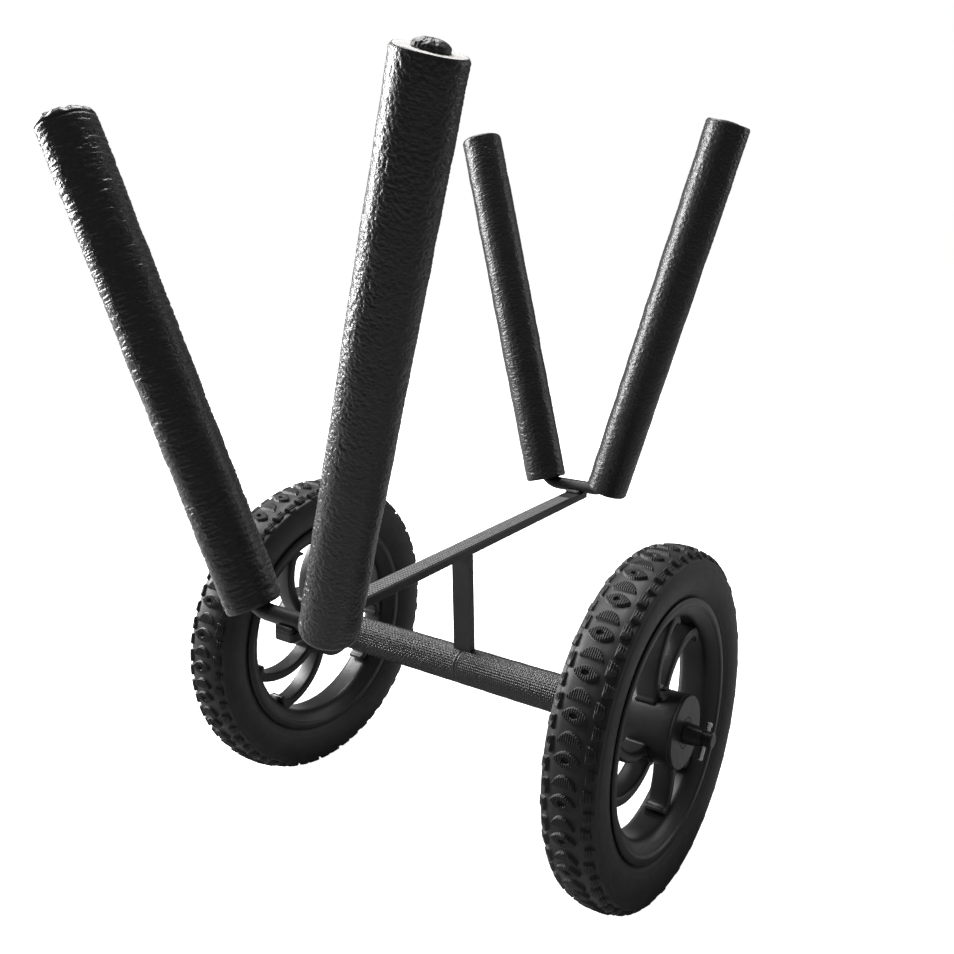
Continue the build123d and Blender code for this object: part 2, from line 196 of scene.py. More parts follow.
ONE = (1, 1, 1)
powder_coat = material("powder_coat", grey(0.014), grey(0.018), 0.42, specular=0.35, scale=90,
                       bumps=[("noise", 900, ONE, 0.25, 0.0002), ("noise", 160, ONE, 0.15, 0.0004)])
axle_paint = material("axle_paint", grey(0.006), grey(0.011), 0.36, specular=0.35, scale=120,
                      bumps=[("noise", 700, (0.2, 1, 1), 0.2, 0.0002)])
grip_vinyl = material("grip_vinyl", grey(0.075), grey(0.11), 0.55, specular=0.4, scale=200,
                      bumps=[("noise", 1500, ONE, 0.3, 0.0002)])
sleeve_cloth = material("sleeve_cloth", grey(0.012), grey(0.018), 0.34, rough_spread=0.1,
                        specular=0.4, scale=400, sheen=0.03,
                        bumps=[("voronoi", 900, ONE, 0.5, 0.0004), ("noise", 350, ONE, 0.3, 0.0006)])
axle_cloth = material("axle_cloth", grey(0.012), grey(0.02), 0.32, rough_spread=0.1,
                      specular=0.6, scale=400, sheen=0.03,
                      bumps=[("voronoi", 1100, ONE, 0.5, 0.0003)])
# pale foam colour: painted highlight, standing in for the light on the arm cores' cut ends
foam = material("foam", (0.55, 0.54, 0.52), (0.75, 0.74, 0.72), 0.85, scale=500,
                bumps=[("voronoi", 900, ONE, 0.6, 0.0005)])
dark_foam = material("dark_foam", grey(0.02), grey(0.035), 0.85, scale=500,
                     bumps=[("voronoi", 900, ONE, 0.6, 0.0005)])
plug_cloth = material("plug_cloth", grey(0.008), grey(0.015), 0.5, specular=0.35, scale=300,
                      bumps=[("noise", 900, ONE, 0.4, 0.0004)])
tyre_rubber = material("tyre_rubber", grey(0.014), grey(0.02), 0.5, rough_spread=0.07,
                       specular=0.3, scale=80,
                       bumps=[("noise", 1200, ONE, 0.2, 0.0002), ("noise", 120, ONE, 0.1, 0.0005)])
soft_rubber = material("soft_rubber", grey(0.008), grey(0.013), 0.55, specular=0.35, scale=150,
                       bumps=[("noise", 900, ONE, 0.2, 0.0002)])
wheel_plastic = material("wheel_plastic", grey(0.014), grey(0.018), 0.36, rough_spread=0.06,
                         specular=0.3, scale=70,
                         bumps=[("noise", 1100, ONE, 0.12, 0.0002), ("noise", 60, ONE, 0.12, 0.0008)])
nylon = material("nylon", grey(0.008), grey(0.013), 0.42, specular=0.35, scale=120,
                 bumps=[("noise", 900, ONE, 0.15, 0.0002)])
zinc_steel = material("zinc_steel", (0.52, 0.52, 0.53), (0.68, 0.68, 0.68), 0.28, metallic=1.0, scale=300,
                      bumps=[("noise", 1400, (1, 0.2, 1), 0.15, 0.0001)])

CAD_LOOKS = {
    "main_bar": powder_coat, "post": powder_coat, "post_gusset": powder_coat,
    "cradle_tube_front": powder_coat, "cradle_tube_rear": powder_coat,
    "axle_tube": axle_paint, "axle_rod": axle_paint,
    "thrust_washer": nylon, "hub_spacer": wheel_plastic, "bush_outer": nylon, "bush_inner": nylon,
    "hub_disc_outer": wheel_plastic, "hub_disc_inner": wheel_plastic,
    "inner_tube": soft_rubber, "valve": soft_rubber, "valve_cap": nylon,
    "axle_pin": zinc_steel,
}
for node_name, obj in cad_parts.items():
    stem = node_name
    for side in ("_left", "_right"):
        stem = stem.removesuffix(side)
    look = CAD_LOOKS.get(stem)
    if look:
        obj.data.materials.clear()
        obj.data.materials.append(look)


# ---------------------------------------------------------------- cradle arms
def hand_of(side):
    return 1 if side == "right" else -1


def arm_line(end, side, count_per_mm):
    """Stations along one arm, from the start of the sleeve to its top, and the place and direction
    of each in the cradle's plane."""
    hand = hand_of(side)
    across, along = math.sin(HALF_ANGLE[end]), math.cos(HALF_ANGLE[end])
    start, total = STARTS[side], ARM[end, side] - STARTS[side]
    stations = np.linspace(0, total, int(total / MM * count_per_mm) + 1)
    s = start + stations
    return (stations, hand * (HALF_FOOT + s * across), s * along,
            np.full_like(s, hand * across), np.full_like(s, along))


def to_world(end, x, y, n):
    """From the leaning plane of a cradle to the frame: x across, y up the lean, n out of the plane
    towards -Y."""
    sign = -1 if end == "front" else 1
    world_y = sign * CRADLE_Y + y * sign * math.sin(LEAN) - n * math.cos(LEAN)
    world_z = CRADLE_Z + y * math.cos(LEAN) + n * sign * math.sin(LEAN)
    return np.stack([x, world_y, world_z], -1)


def swept(end, hand, x, y, tx, ty, radius, shift=None):
    """Tube round a line: radius is rows by columns. Angle 0 points away from the middle of the
    cradle, and 90 degrees towards -Y. shift moves each ring along the line."""
    rows, cols = radius.shape
    angle = np.linspace(0, TAU, cols, endpoint=False)
    ex, ey = ty[:, None] * hand, -tx[:, None] * hand
    px = x[:, None] + ex * np.cos(angle) * radius * hand
    py = y[:, None] + ey * np.cos(angle) * radius * hand
    pn = np.sin(angle) * radius
    if shift is not None:
        px = px + tx[:, None] * shift
        py = py + ty[:, None] * shift
    return to_world(end, px, py, pn).reshape(-1, 3)


# Each sleeve's gathers, how long they are round it and how deep, in millimetres, and its seam's angle
SLEEVES = {
    ("front", "left"): dict(around=12, depth=0.8, seam=200, seed=11, closed=True),
    ("front", "right"): dict(around=1.8, depth=0.6, seam=222, seed=12, closed=False),
    ("rear", "left"): dict(around=5, depth=0.45, seam=205, seed=13, closed=False),
    ("rear", "right"): dict(around=4, depth=0.45, seam=222, seed=14, closed=False),
}


def arm_sleeve(end, side):
    """Gathered cloth cover of one arm."""
    hand = hand_of(side)
    spec = SLEEVES[end, side]
    rng = np.random.default_rng(spec["seed"])
    rows_per_mm = 1.6
    stations, x, y, tx, ty = arm_line(end, side, rows_per_mm)
    rows, cols = len(stations), 176
    around_mm = TAU * 23 / cols
    along_mm = 1 / rows_per_mm
    fine = ridges(noise(rng, rows, cols, 1.9 / along_mm, spec["around"] / around_mm))
    finer = ridges(noise(rng, rows, cols, 1.3 / along_mm, min(3.5, spec["around"]) / around_mm))
    broad = noise(rng, rows, cols, 16 / along_mm, 20 / around_mm) - 0.5
    strength = 0.55 + 0.45 * noise(rng, rows, cols, 30 / along_mm, 25 / around_mm)
    height = strength * (0.62 * fine + 0.38 * finer) * spec["depth"] + 0.7 * broad
    angle = np.degrees(np.linspace(0, TAU, cols, endpoint=False))
    off_seam = (angle - spec["seam"] + 180) % 360 - 180
    seam = 0.7 * np.exp(-((off_seam * TAU * 23 / 360) / 0.9) ** 2)
    height = height * (1 - 0.8 * np.exp(-((off_seam * TAU * 23 / 360) / 1.6) ** 2)) + seam
    # the hems are drawn flat at both ends
    near = np.minimum(stations, stations[-1] - stations) / MM
    height = height * smooth_step(0, 3, near)[:, None]
    radius = SLEEVE_R + (height - 0.1) * MM
    ends = smooth_step(2.5, 0, near)[:, None]
    radius = radius - 0.9 * MM * ends ** 2
    # the low end is turned in under the foam
    under_radii = [8.5, 12.5, 16.5, 20.0, 22.0]
    turned_in = len(under_radii)
    under = np.array(under_radii)[:, None] * MM * np.ones((turned_in, cols))
    pucker = 0.5 * MM * np.sin(14 * np.radians(angle) + 2) * np.array([1, 0.8, 0.5, 0.3, 0.1])[:, None]
    under_lift = np.array([0.6, 0.2, -0.1, -0.2, -0.1])[:, None] * MM + pucker
    radius = np.vstack([under, radius])
    base_lift = np.vstack([under_lift, np.zeros((rows, cols))])
    x, y, tx, ty = [np.concatenate([[a[0]] * turned_in, a]) for a in (x, y, tx, ty)]
    if spec["closed"]:
        # cloth gathered over the top of the foam
        dome_height = 8 * MM
        steps = np.linspace(0, 1, 26)[1:]
        wave = (np.sin(9 * np.radians(angle) + 1) + 0.6 * np.sin(17 * np.radians(angle) + 4)) * 0.5
        domes, lifts = [], []
        for t in steps:
            r = SLEEVE_R * math.cos(t * math.pi / 2) ** 0.75
            pinch = math.sin(t * math.pi) * 1.3 * MM
            domes.append(np.maximum(r + pinch * wave * (0.4 + t), 0.6 * MM))
            lifts.append(dome_height * math.sin(t * math.pi / 2) + np.zeros(cols)
                         + 0.8 * MM * math.sin(t * math.pi) * wave)
        radius = np.vstack([radius, domes])
        shift = np.vstack([base_lift, lifts])
        x, y, tx, ty = [np.append(a, np.full(len(steps), a[-1])) for a in (x, y, tx, ty)]
        verts = swept(end, hand, x, y, tx, ty, radius, shift)
        faces = grid_faces(radius.shape[0], cols)
        last = (radius.shape[0] - 1) * cols
        faces.append(list(range(last, last + cols)))
    else:
        # an open hem, turned down inside against the foam
        inner = np.array([[FOAM_R], [FOAM_R]]) * np.ones((2, cols))
        shift = np.vstack([base_lift, np.array([[-0.4 * MM], [-6 * MM]]) * np.ones((2, cols))])
        radius = np.vstack([radius, inner])
        x, y, tx, ty = [np.concatenate([a, [a[-1]] * 2]) for a in (x, y, tx, ty)]
        verts = swept(end, hand, x, y, tx, ty, radius, shift)
        faces = grid_faces(radius.shape[0], cols)
    piece = make_object(f"sleeve_{end}_{side}", verts, faces, sleeve_cloth)
    mend_normals(piece)
    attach(piece, "frame")
    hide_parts(f"arm_cover_{end}_{side}")


def arm_core(end, side):
    """Foam tube inside a sleeve. Only its cut ends show, and their pale colour is a painted highlight."""
    hand = hand_of(side)
    rng = np.random.default_rng(40 + SLEEVES[end, side]["seed"])
    stations, x, y, tx, ty = arm_line(end, side, 0.2)
    cols = 96
    gap = 0.1 * MM
    cut_radii = [FOAM_R * 0.985 * k + (1 - k) * TUBE_R for k in (0.1, 0.4, 0.7, 0.95)]
    profile = [(0, r) for r in cut_radii] + [(i, FOAM_R - gap) for i in range(len(stations))]
    profile += [(len(stations) - 1, r) for r in reversed(cut_radii)]
    profile += [(i, TUBE_R + gap) for i in range(len(stations) - 1, -1, -1)]
    index = np.array([i for i, _ in profile])
    radius = np.array([r for _, r in profile])[:, None] * np.ones((1, cols))
    cells = noise(rng, len(profile), cols, 1.5, 2) - 0.5
    rings = len(cut_radii)
    at_end = np.zeros(len(profile))
    at_end[:rings] = 1
    at_end[rings + len(stations):2 * rings + len(stations)] = 1
    low_end = index == 0
    shift = cells * 0.5 * MM * at_end[:, None] + 3 * MM * low_end[:, None]
    verts = swept(end, hand, x[index], y[index], tx[index], ty[index], radius, shift)
    faces = grid_faces(len(profile), cols, wrap_rows=True)
    piece = make_object(f"core_{end}_{side}", verts, faces, foam)
    mend_normals(piece)
    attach(piece, "frame")
    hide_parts(f"arm_foam_{end}_{side}")


def arm_cap(end, side):
    """Bunched cloth cap on the tube's end. The one on the front right arm stands proud."""
    hand = hand_of(side)
    rng = np.random.default_rng(70 + SLEEVES[end, side]["seed"])
    _, x, y, tx, ty = arm_line(end, side, 0.2)
    cols = 120
    proud = (end, side) == ("front", "right")
    rim_height, dome = (0.4, 5.6) if proud else (0.6, 1.5)
    profile = [(0.8, -22), (5.3, -22), (5.4, -1), (11.2, -0.2)]
    profile += [(11.5 * math.cos(t) ** 0.8, rim_height + dome * math.sin(t))
                for t in np.linspace(0, 1.45, 26)]
    rows = len(profile)
    folds = ridges(noise(rng, rows, cols, 40, 4.2)) * 0.5 + ridges(noise(rng, rows, cols, 6, 6)) * 0.4
    radius = np.array([r for r, _ in profile])[:, None] * MM * np.ones((1, cols))
    lift = np.array([z for _, z in profile])[:, None] * MM * np.ones((1, cols))
    amount = smooth_step(3, 8, np.arange(rows))[:, None]
    fold_depth = (0.55 if proud else 0.2) * MM
    radius = radius + folds * fold_depth * amount * np.clip(radius / (8 * MM), 0, 1)
    lift = lift + folds * fold_depth * amount
    x, y, tx, ty = [np.full(rows, a[-1]) for a in (x, y, tx, ty)]
    verts = swept(end, hand, x, y, tx, ty, radius, lift)
    faces = grid_faces(rows, cols)
    faces += [list(range(cols)), list(range((rows - 1) * cols, rows * cols))]
    piece = make_object(f"cap_{end}_{side}", verts, faces, plug_cloth)
    mend_normals(piece)
    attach(piece, "frame")
    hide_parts(f"arm_plug_{end}_{side}")


for end in ("front", "rear"):
    for side in ("left", "right"):
        arm_sleeve(end, side)
        arm_core(end, side)
        arm_cap(end, side)


# ---------------------------------------------------------------- axle sleeves
def axle_sleeve(side):
    """Woven sleeve over the foam on one half of the axle tube, cut out round the post."""
    hand = hand_of(side)
    low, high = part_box(f"axle_cover_{side}")
    inner_x, outer_x = (low.x, high.x) if hand > 0 else (high.x, low.x)
    length = abs(outer_x - inner_x)
    row_step, weft_pitch, warps, sleeve_mm = 0.55, 2.2, 45, 18
    rows, cols = int(length / MM / row_step) + 1, 200
    s = np.linspace(0, length, rows)
    angle = np.linspace(0, TAU, cols, endpoint=False)
    rng = np.random.default_rng(90 + hand)
    along = s[:, None] / MM
    round_mm = angle[None, :] * sleeve_mm
    warp_pitch = TAU * sleeve_mm / warps
    weft = np.cos(TAU * along / weft_pitch)
    warp = np.cos(TAU * round_mm / warp_pitch)
    over = np.where((np.floor(along / weft_pitch) + np.floor(round_mm / warp_pitch)) % 2 == 0, 1, -1)
    height = 0.34 * np.maximum(weft, -0.6) + 0.34 * np.maximum(warp, -0.6) + 0.12 * over
    height = height + 0.35 * (noise(rng, rows, cols, 14, 18) - 0.5)
    near = np.minimum(s, length - s) / MM
    hem = smooth_step(3.2, 2.2, near)[:, None]
    height = height * (1 - hem) + 0.45 * hem * smooth_step(0, 1.0, near)[:, None]
    radius = 17.7 * MM + height * MM
    # opening round the post
    post_half_x, post_half_y = 10.2 * MM, 4.2 * MM
    on_top = np.sin(angle)[None, :] > 0
    in_line = np.abs(np.cos(angle))[None, :] * sleeve_mm * MM < post_half_y
    cut = (s[:, None] < post_half_x) & on_top & in_line
    shell = 1.4 * MM
    x = np.broadcast_to((inner_x + hand * s)[:, None], radius.shape)
    outer, inside = [np.stack([x, np.cos(angle)[None, :] * r, AXLE_Z + np.sin(angle)[None, :] * r], -1)
                     for r in (radius, radius - shell)]
    keep = ~(cut[:-1] & cut[1:] & np.roll(cut, -1, 1)[:-1] & np.roll(cut, -1, 1)[1:])
    total = rows * cols
    r, c = np.nonzero(keep)
    c2 = (c + 1) % cols
    a, b, d, e = r * cols + c, r * cols + c2, (r + 1) * cols + c2, (r + 1) * cols + c
    faces = np.stack([a, b, d, e], -1).tolist()
    faces += (np.stack([a, e, d, b], -1) + total).tolist()
    # walls join the two shells wherever an edge has a face on one side only
    edges = {}
    for quad in faces[:len(r)]:
        for i in range(4):
            pair = (quad[i], quad[(i + 1) % 4])
            key = tuple(sorted(pair))
            edges[key] = None if key in edges else pair
    for pair in edges.values():
        if pair:
            p, q = pair
            faces.append([q, p, p + total, q + total])
    verts = np.concatenate([outer.reshape(-1, 3), inside.reshape(-1, 3)])
    used = np.zeros(2 * total, bool)
    used[[v for f in faces for v in f]] = True
    renumber = np.cumsum(used) - 1
    faces = [[int(renumber[v]) for v in f] for f in faces]
    piece = make_object(f"axle_sleeve_{side}", verts[used], faces, axle_cloth)
    mend_normals(piece)
    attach(piece, "frame")
    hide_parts(f"axle_cover_{side}")


def axle_core(side):
    """Foam inside an axle sleeve. It starts past the post, where the sleeve hides it."""
    hand = hand_of(side)
    low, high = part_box(f"axle_foam_{side}")
    past_post = 0.0105
    inner_x, outer_x = (past_post, high.x) if hand > 0 else (-past_post, low.x)
    bore, outside = 9.1, 16.1
    cols = 96
    angle = np.linspace(0, TAU, cols, endpoint=False)
    profile = [(inner_x, bore), (inner_x, outside)]
    profile += [(x, outside) for x in np.linspace(inner_x, outer_x, 30)[1:]]
    profile += [(outer_x, r) for r in (14, 12, 10, bore)]
    profile += [(x, bore) for x in np.linspace(outer_x, inner_x, 6)[1:-1]]
    rng = np.random.default_rng(97 + hand)
    rows = len(profile)
    jitter = (noise(rng, rows, cols, 1.5, 2) - 0.5) * 0.4 * MM
    at_end = np.array([abs(x - outer_x) < 1e-6 and 9.5 < r < 16 for x, r in profile])
    verts = [(x + (jitter[i, k] if at_end[i] else 0), math.cos(a) * r * MM, AXLE_Z + math.sin(a) * r * MM)
             for i, (x, r) in enumerate(profile) for k, a in enumerate(angle)]
    faces = grid_faces(rows, cols, wrap_rows=True)
    piece = make_object(f"axle_core_{side}", verts, faces, dark_foam)
    mend_normals(piece)
    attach(piece, "frame")
    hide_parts(f"axle_foam_{side}")


for side in ("left", "right"):
    axle_sleeve(side)
    axle_core(side)


# ---------------------------------------------------------------- grip strip on the bar
def grip_strip():
    """Vinyl strip with rows of round dimples and softened edges."""
    low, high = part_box("bar_grip")
    width, length = (high.x - low.x) / MM, (high.y - low.y) / MM
    dimples_across, pitch = 5, 3.4
    cols, rows = 46, int(length / 0.42)
    uu, vv = np.meshgrid(np.linspace(0, width, cols), np.linspace(0, length, rows))
    cell = width / dimples_across
    du = (uu % cell) / cell - 0.5
    dv = (vv % pitch) / pitch - 0.5
    dimple = smooth_step(0.40, 0.26, np.sqrt(du ** 2 + dv ** 2))
    edge = np.minimum(np.minimum(uu, width - uu), np.minimum(vv, length - vv))
    top = 1.0 - 0.9 * dimple * smooth_step(0.5, 1.0, edge) - 0.5 * (1 - smooth_step(0, 0.7, edge))
    verts = np.stack([low.x + uu * MM, low.y + vv * MM, low.z + top * MM], -1).reshape(-1, 3)
    faces = grid_faces(rows, cols, wrap_cols=False)
    base = verts.copy()
    base[:, 2] = low.z + 0.02 * MM
    total = rows * cols
    rim = [r * cols for r in range(rows)] + [(rows - 1) * cols + c for c in range(1, cols)]
    rim += [r * cols + cols - 1 for r in range(rows - 2, -1, -1)] + [c for c in range(cols - 2, 0, -1)]
    under = {p: total + i for i, p in enumerate(rim)}
    for p, q in zip(rim, rim[1:] + rim[:1]):
        faces.append([p, q, under[q], under[p]])
    faces.append([under[p] for p in rim])
    piece = make_object("grip", np.concatenate([verts, base[rim]]), faces, grip_vinyl)
    mend_normals(piece)
    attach(piece, "frame")
    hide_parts("bar_grip")


grip_strip()


# ---------------------------------------------------------------- weld beads under the cradle tubes
def weld_beads(end):
    """Two rippled beads, one on each side of a cradle tube."""
    sign = -1 if end == "front" else 1
    verts, faces = [], []
    rng = np.random.default_rng(120 + sign)
    cols = 28
    angle = np.linspace(0, TAU, cols, endpoint=False)
    for dy in (-1, 1):
        offset = len(verts)
        rows = 70
        for i in range(rows):
            t = i / (rows - 1)
            x = (t - 0.5) * 18.4
            ripple = 0.32 * abs(math.sin(x * math.pi / 1.9)) + 0.15 * rng.random()
            close = math.sqrt(max(0.0, 1 - (2 * t - 1) ** 8))
            r = (2.5 + ripple) * close + 0.02
            for a in angle:
                verts.append((x * MM, sign * CRADLE_Y + (dy * 7.4 + r * math.cos(a)) * MM,
                              DECK_Z + (1.3 + r * math.sin(a)) * MM))
        faces += grid_faces(rows, cols, offset)
        faces.append(list(range(offset, offset + cols)))
        faces.append(list(range(offset + (rows - 1) * cols, offset + rows * cols)))
    piece = make_object(f"weld_{end}", verts, faces, powder_coat)
    mend_normals(piece)
    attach(piece, "frame")
    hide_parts(f"cradle_weld_{end}")


weld_beads("front")
weld_beads("rear")


# ---------------------------------------------------------------- wheels
PITCHES = 30
ROWS_PER_PITCH = 50
CROWN = 158.75              # tyre's radius over the tread, in millimetres
TREAD_PITCH = TAU * CROWN / PITCHES
TREAD_DEPTH = 3.1


def tyre_profile():
    """Outside of the tyre from one bead to the other: x, radius, direction outwards and distance
    from the crown, in millimetres."""
    half = np.array([(18.5, 106.0), (18.6, 115.5), (21.6, 121.5), (24.3, 130.5), (25.0, 139.0),
                     (24.2, 146.5), (22.3, 152.0), (18.6, 155.6), (12.5, 157.7), (6.2, 158.5), (0, CROWN)])
    points = np.concatenate([half * (-1, 1), half[::-1][1:]])
    # smooth curve through the points, then even steps along it
    t = np.arange(len(points))
    padded = np.concatenate([[2 * points[0] - points[1]], points, [2 * points[-1] - points[-2]]])
    fine = []
    for i in range(len(points) - 1):
        p0, p1, p2, p3 = padded[i:i + 4]
        for k in np.linspace(0, 1, 40, endpoint=False):
            fine.append(0.5 * (2 * p1 + (p2 - p0) * k + (2 * p0 - 5 * p1 + 4 * p2 - p3) * k ** 2
                               + (3 * p1 - p0 - 3 * p2 + p3) * k ** 3))
    fine.append(points[-1])
    fine = np.array(fine)
    run = np.concatenate([[0], np.cumsum(np.linalg.norm(np.diff(fine, axis=0), axis=1))])
    middle = run[-1] / 2
    v = np.concatenate([np.linspace(-middle, -29, 26, endpoint=False), np.linspace(-29, 29, 146),
                        np.linspace(29, middle, 27)[1:]])
    x = np.interp(v + middle, run, fine[:, 0])
    r = np.interp(v + middle, run, fine[:, 1])
    dx, dr = np.gradient(x), np.gradient(r)
    size = np.hypot(dx, dr)
    return x, r, -dr / size, dx / size, v


def tread_height(u, v):
    """Height of the tread over the grooves' floor, in millimetres. u runs round the tyre within one
    pitch, v across it."""
    edge = 0.45
    ribs = 0.5 - 0.5 * np.cos(TAU * v / 1.9)
    ribbed_top = TREAD_DEPTH - 0.9 * ribs
    # centre row: an almond with a hole in it
    ue = u - 0.27 * TREAD_PITCH
    lens = 6.2 * (1 - (v / 11.8) ** 2) - np.abs(ue)
    eye = smooth_step(0, edge, lens)
    hole = smooth_step(1.0, 0.7, np.hypot(v / 3.7, ue / 2.5))
    eye_height = eye * (1 - 0.95 * hole) * ribbed_top
    # a half moon with its flat side behind
    ua = u - 0.76 * TREAD_PITCH
    flat = -4.6
    dome = 9.6 * (1 - np.abs(v / 11.2) ** 2.4) + flat - ua
    moon = smooth_step(0, edge, dome) * smooth_step(flat, flat + edge, ua)
    height = np.maximum(eye_height, moon * ribbed_top)
    # shoulder rows, staggered ribbed blocks
    w = np.abs(v)
    for middle, reach_in, reach_out, half in ((0.52, 15.2, 24.6, 6.6), (0.02, 17.6, 27.6, 5.6)):
        us = (u - middle * TREAD_PITCH + TREAD_PITCH / 2) % TREAD_PITCH - TREAD_PITCH / 2
        bow = half * (1 - 0.35 * ((w - reach_in) / (reach_out - reach_in)) ** 2) - np.abs(us)
        block = (smooth_step(0, edge, bow) * smooth_step(reach_in, reach_in + edge, w)
                 * smooth_step(reach_out, reach_out - edge, w))
        groove = 0.5 - 0.5 * np.cos(TAU * (w - reach_in) / 2.5)
        height = np.maximum(height, block * (2.6 - 1.1 * groove * smooth_step(-2.5, 1, us)))
    return height


def tyre(side):
    """Knobby tyre with its tread blocks and the lines moulded round its walls."""
    x, r, nx, nr, v = tyre_profile()
    cols = len(v)
    rows = ROWS_PER_PITCH * PITCHES
    theta = np.linspace(0, TAU, rows, endpoint=False)
    u = (theta * CROWN) % TREAD_PITCH
    base = -TREAD_DEPTH * smooth_step(28.5, 24, np.abs(v))
    tread = tread_height(u[:ROWS_PER_PITCH, None], v[None, :])[np.arange(rows) % ROWS_PER_PITCH]
    # no block stands over the tyre's own curve
    height = base[None, :] + np.minimum(tread, 0.2 - base[None, :])
    # thin lines moulded round the sidewall, and one tick on the outer of them
    for radius, depth, width in ((146.2, -0.55, 0.6), (121.6, -0.4, 0.5)):
        near = np.exp(-((r - radius) / width) ** 2) * (np.abs(v) > 26)
        height = height + depth * near[None, :]
    tick = (np.exp(-(((theta[:, None] - 2.2) * 146) / 0.7) ** 2)
            * np.exp(-((r[None, :] - 146.2) / 1.8) ** 2))
    height = height + 0.6 * tick * (np.abs(v) > 26)
    rr = (r[None, :] + nr[None, :] * height) * MM
    xx = (x[None, :] + nx[None, :] * height) * MM
    verts = np.stack([hand_of(side) * WHEEL_X + xx, -np.cos(theta)[:, None] * rr,
                      AXLE_Z + np.sin(theta)[:, None] * rr], -1)
    faces = grid_faces(rows, cols, wrap_rows=True)
    piece = make_object(f"tread_{side}", verts.reshape(-1, 3), faces, tyre_rubber)
    mend_normals(piece)
    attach(piece, f"wheel_{side}")
    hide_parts(f"tyre_{side}")


def lathe_verts(profile, steps):
    """Ring of points about the X axis for each point (x, radius), in metres."""
    theta = np.linspace(0, TAU, steps, endpoint=False)
    p = np.array(profile) * MM
    return np.stack([np.broadcast_to(p[:, 0][None, :], (steps, len(p))),
                     np.cos(theta)[:, None] * p[:, 1], np.sin(theta)[:, None] * p[:, 1]], -1).reshape(-1, 3)


def arc_through(a, b, c):
    """Centre and radius of the circle through three points."""
    (ax, ay), (bx, by), (cx, cy) = a, b, c
    d = 2 * (ax * (by - cy) + bx * (cy - ay) + cx * (ay - by))
    aa, bb, cc = ax ** 2 + ay ** 2, bx ** 2 + by ** 2, cx ** 2 + cy ** 2
    ux = (aa * (by - cy) + bb * (cy - ay) + cc * (ay - by)) / d
    uy = (aa * (cx - bx) + bb * (ax - cx) + cc * (bx - ax)) / d
    return ux, uy, math.hypot(ax - ux, ay - uy)


def polar(radius, angle):
    """Point at a radius and an angle in degrees."""
    return radius * math.cos(math.radians(angle)), radius * math.sin(math.radians(angle))


def spoke(angle, verts, faces):
    """One swept spoke with rounded edges, from the hub to the rim, with its ends spread into both."""
    a, b, c = polar(104, angle - 3), polar(64, angle + 22.04), polar(24, angle + 39.9)
    cx, cy, radius = arc_through(a, b, c)
    t0, t1 = math.atan2(a[1] - cy, a[0] - cx), math.atan2(c[1] - cy, c[0] - cx)
    t1 += TAU * round((t0 - t1) / TAU)
    offset = len(verts)
    count = 0
    half_width, half_depth, corner = 4.75, 10, 2.6
    rim_inside, hub_outside = 96, 32
    outline = []
    for k in range(4):
        sx, sy = ((1, 1), (-1, 1), (-1, -1), (1, -1))[k]
        for q in np.linspace(0, math.pi / 2, 6):
            outline.append((sx, sy, math.cos(q + k * math.pi / 2), math.sin(q + k * math.pi / 2)))
    for t in np.linspace(t0, t1, 90):
        px, py = cx + radius * math.cos(t), cy + radius * math.sin(t)
        rho = math.hypot(px, py)
        if rho > 98.2 or rho < 29.6:
            continue
        half = half_width
        for d, reach in ((rim_inside - rho, 6.5), (rho - hub_outside, 3.5)):
            d = max(d, 0)
            if d < reach:
                half += reach - math.sqrt(reach ** 2 - (reach - d) ** 2)
        nx, ny = math.cos(t), math.sin(t)
        for sx, sy, ca, sa in outline:
            across = sx * (half - corner) + corner * ca
            deep = sy * (half_depth - corner) + corner * sa
            verts.append((deep * MM, (px + nx * across) * MM, (py + ny * across) * MM))
        count += 1
    n = len(outline)
    faces += grid_faces(count, n, offset)
    faces.append(list(range(offset, offset + n)))
    faces.append(list(range(offset + (count - 1) * n, offset + count * n)))


def rim(side, turn):
    """Moulded wheel: barrel, hub and three pairs of swept spokes."""
    verts, faces = [], []
    half = [(0, 96), (4, 96), (8, 96.0), (10.5, 96.25), (12.5, 97.0), (14.5, 98.6), (16.4, 101.0),
            (18.1, 103.7), (19.3, 106.0), (19.9, 107.3), (20.7, 107.9), (21.3, 108.7), (21.5, 110.0),
            (21.5, 113.4), (21.1, 114.7), (20.0, 115.4), (18.9, 114.9), (18.4, 113.8), (18.4, 104.0),
            (12, 102.9), (9, 99.2), (0, 99)]
    barrel = half + [(-x, r) for x, r in reversed(half[1:-1])]
    verts += lathe_verts(barrel, 288).tolist()
    faces += grid_faces(288, len(barrel), 0, wrap_rows=True)
    hub_half = [(0, 32), (8, 32), (20, 32), (27.5, 32), (28.6, 31.8), (29, 31.2), (29, 29), (2.5, 29)]
    hub = hub_half + [(-x, r) for x, r in reversed(hub_half[1:])]
    offset = len(verts)
    verts += lathe_verts(hub, 144).tolist()
    faces += grid_faces(144, len(hub), offset, wrap_rows=True)
    web = [(2.5, 28.9), (2.5, 13.6), (30, 13.5), (30, 10.1),
           (-30, 10.1), (-30, 13.5), (-2.5, 13.6), (-2.5, 28.9)]
    offset = len(verts)
    verts += lathe_verts(web, 96).tolist()
    faces += grid_faces(96, len(web), offset, wrap_rows=True)
    for pair in range(3):
        for angle in (pair * 120, pair * 120 + 34):
            spoke(angle, verts, faces)
    turned = math.radians(turn)
    v = np.array(verts)
    y = v[:, 1] * math.cos(turned) - v[:, 2] * math.sin(turned)
    z = v[:, 1] * math.sin(turned) + v[:, 2] * math.cos(turned)
    v = np.stack([v[:, 0] + hand_of(side) * WHEEL_X, y, z + AXLE_Z], -1)
    piece = make_object(f"wheel_{side}_moulding", v, faces, wheel_plastic)
    mend_normals(piece)
    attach(piece, f"wheel_{side}")
    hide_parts(f"rim_{side}", f"wheel_centre_{side}")


for side, turn in (("left", 193), ("right", 156.5)):
    tyre(side)
    rim(side, turn)


